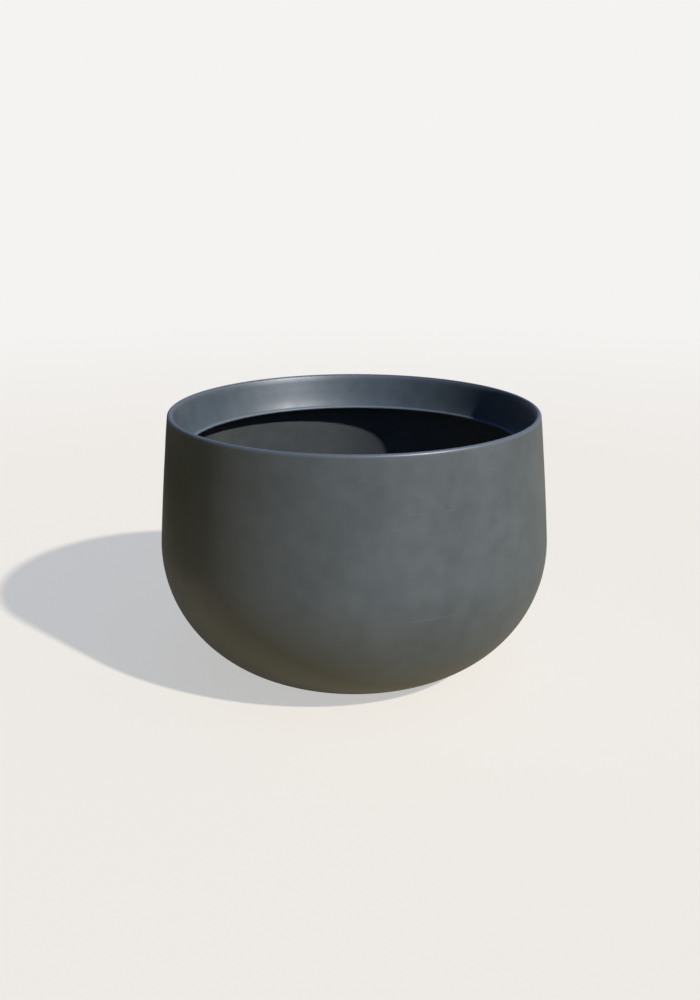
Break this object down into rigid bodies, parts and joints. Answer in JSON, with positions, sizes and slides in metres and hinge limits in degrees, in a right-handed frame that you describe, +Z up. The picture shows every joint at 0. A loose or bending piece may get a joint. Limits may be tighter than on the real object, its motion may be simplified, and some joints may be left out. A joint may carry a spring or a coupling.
{
  "type": "planter",
  "caption": "Round bowl planter of moulded resin with a full-round lip, a sloping inner collar, a drain plug and foot pads.",
  "frame": {"origin": "on the floor, at the centre of the bowl", "axes": "+Z up along the axis of the bowl; the picture was taken from the -Y side, with +X to the right"},
  "size_m": [0.6, 0.5998, 0.4],
  "materials": {
    "shell_resin": "satin anthracite gel coat",
    "collar_resin": "satin anthracite gel coat",
    "bonding_resin": "cured filler",
    "plug_rubber": "moulded black rubber",
    "pad_rubber": "die-cut black rubber"
  },
  "bodies": {
    "planter": {"bowl_shell": "shell_resin", "rim_collar": "collar_resin", "collar_bond": "bonding_resin", "foot_pad_1": "pad_rubber", "foot_pad_2": "pad_rubber", "foot_pad_3": "pad_rubber", "foot_pad_4": "pad_rubber"},
    "plug": {"drain_plug": "plug_rubber"}
  },
  "joints": [
    {"name": "plug_lift", "type": "slide", "parent": "planter", "child": "plug", "axis": [0, 0, 1], "range_m": [0, 0.42]}
  ]
}
